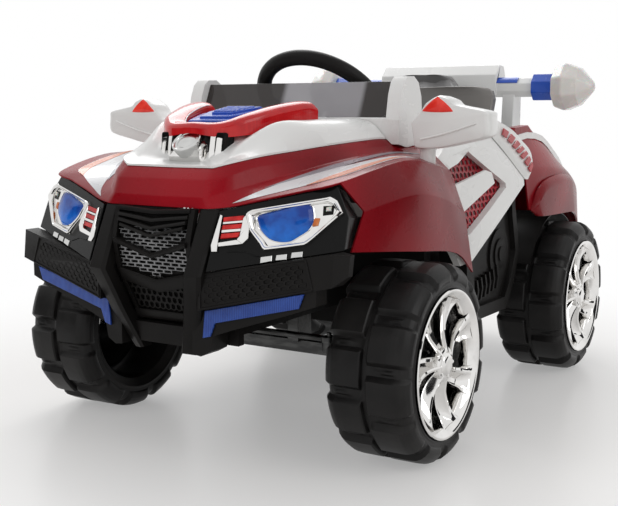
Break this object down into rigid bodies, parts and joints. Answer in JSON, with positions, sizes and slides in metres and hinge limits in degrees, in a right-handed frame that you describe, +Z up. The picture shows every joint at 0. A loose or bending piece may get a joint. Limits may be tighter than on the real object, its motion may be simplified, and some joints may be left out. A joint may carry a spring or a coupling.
{
  "type": "electric ride-on car",
  "caption": "Child's off-road ride-on car: moulded body on a tub with steered front wheels, driven rear wheels, bumper bars, windscreen, seat and rear wing.",
  "frame": {"origin": "on the ground under the middle of the car's bounding box, which is also midway between the axles", "axes": "nose along -Y, +X towards the car's left side, +Z up"},
  "size_m": [0.758, 1.202, 0.6266],
  "materials": {
    "black": "satin black",
    "blue": "clear blue plastic",
    "chrome": "vacuum-plated mirror chrome",
    "clear_red": "clear red lamp plastic",
    "frost": "translucent milky plastic",
    "grey": "satin dark grey",
    "red": "deep metallic red lacquer",
    "red_plain": "glossy red",
    "silver": "silver paint",
    "smoke": "smoked tinted sheet",
    "steel": "zinc-plated steel",
    "tyre": "satin black blow-moulded plastic",
    "white": "glossy white"
  },
  "bodies": {
    "car": {"battery": "black", "chassis": "black", "cowl": "white", "dash_panel": "black", "front_axle": "steel", "front_body": "red", "front_bumper": "black", "grille": "black", "hood": "white", "hood_emblem": "chrome", "left_bumper_strip": "blue", "left_gearbox": "black", "left_headlight_bezel": "silver", "left_headlight_housing": "black", "left_headlight_lens": "blue", "left_marker_lamp": "clear_red", "left_mirror": "white", "left_pod": "frost", "left_pod_band": "blue", "left_side_frame": "white", "left_side_mesh": "red", "left_tail_light": "clear_red", "rear_axle": "steel", "rear_body": "red", "rear_bumper": "black", "rear_deck": "white", "right_bumper_strip": "blue", "right_gearbox": "black", "right_headlight_bezel": "silver", "right_headlight_housing": "black", "right_headlight_lens": "blue", "right_marker_lamp": "clear_red", "right_mirror": "white", "right_pod": "frost", "right_pod_band": "blue", "right_side_frame": "white", "right_side_mesh": "red", "right_tail_light": "clear_red", "scoop_lens": "clear_red", "scoop_panel": "blue", "seat": "grey", "spoiler": "white", "windscreen": "smoke"},
    "hand_wheel": {"steering_column": "steel", "steering_wheel": "black"},
    "horn": {"horn_button": "grey"},
    "power": {"power_button": "red_plain"},
    "lever": {"gear_lever": "black"},
    "foot_pedal": {"pedal": "black"},
    "steering_bar": {"tie_rod": "steel"},
    "left_hub": {"left_knuckle": "steel"},
    "right_hub": {"right_knuckle": "steel"},
    "front_left_wheel": {"front_left_tyre": "tyre", "front_left_rim": "chrome"},
    "front_right_wheel": {"front_right_tyre": "tyre", "front_right_rim": "chrome"},
    "rear_left_wheel": {"rear_left_tyre": "tyre", "rear_left_rim": "chrome"},
    "rear_right_wheel": {"rear_right_tyre": "tyre", "rear_right_rim": "chrome"}
  },
  "joints": [
    {"name": "steer", "type": "hinge", "parent": "car", "child": "hand_wheel", "pos_m": [0, -0.0985, 0.53], "axis": [0, 0.7071, 0.7071], "range_deg": [-45, 45]},
    {"name": "horn_press", "type": "slide", "parent": "hand_wheel", "child": "horn", "axis": [0, -0.7071, -0.7071], "range_m": [0, 0.003], "stiffness_N_per_m": 400},
    {"name": "power_press", "type": "slide", "parent": "car", "child": "power", "axis": [0, -0.8886, -0.4587], "range_m": [0, 0.003], "stiffness_N_per_m": 400},
    {"name": "drive_lever", "type": "hinge", "parent": "car", "child": "lever", "pos_m": [-0.11, -0.1269, 0.4544], "axis": [1, 0, 0], "range_deg": [-12, 12]},
    {"name": "pedal_press", "type": "hinge", "parent": "car", "child": "foot_pedal", "pos_m": [-0.06, -0.112, 0.1665], "axis": [1, 0, 0], "range_deg": [0, 10], "stiffness_Nm_per_rad": 1},
    {"name": "track_rod", "type": "slide", "parent": "car", "child": "steering_bar", "axis": [1, 0, 0], "range_m": [-0.0188, 0.0188]},
    {"name": "left_steer", "type": "hinge", "parent": "car", "child": "left_hub", "pos_m": [0.19, -0.3355, 0.15], "axis": [0, 0, 1], "range_deg": [-18.5, 18.5]},
    {"name": "right_steer", "type": "hinge", "parent": "car", "child": "right_hub", "pos_m": [-0.19, -0.3355, 0.15], "axis": [0, 0, 1], "range_deg": [-18.5, 18.5]},
    {"name": "front_left_spin", "type": "hinge", "parent": "left_hub", "child": "front_left_wheel", "pos_m": [0.2935, -0.3355, 0.15], "axis": [1, 0, 0], "continuous": true},
    {"name": "front_right_spin", "type": "hinge", "parent": "right_hub", "child": "front_right_wheel", "pos_m": [-0.2935, -0.3355, 0.15], "axis": [1, 0, 0], "continuous": true},
    {"name": "rear_left_spin", "type": "hinge", "parent": "car", "child": "rear_left_wheel", "pos_m": [0.2935, 0.3355, 0.15], "axis": [1, 0, 0], "continuous": true},
    {"name": "rear_right_spin", "type": "hinge", "parent": "car", "child": "rear_right_wheel", "pos_m": [-0.2935, 0.3355, 0.15], "axis": [1, 0, 0], "continuous": true}
  ],
  "couplings": [
    {"joint": "track_rod", "follows": "steer", "m_per_rad": -0.0236},
    {"joint": "left_steer", "follows": "steer", "ratio": -0.4},
    {"joint": "right_steer", "follows": "steer", "ratio": -0.4}
  ]
}
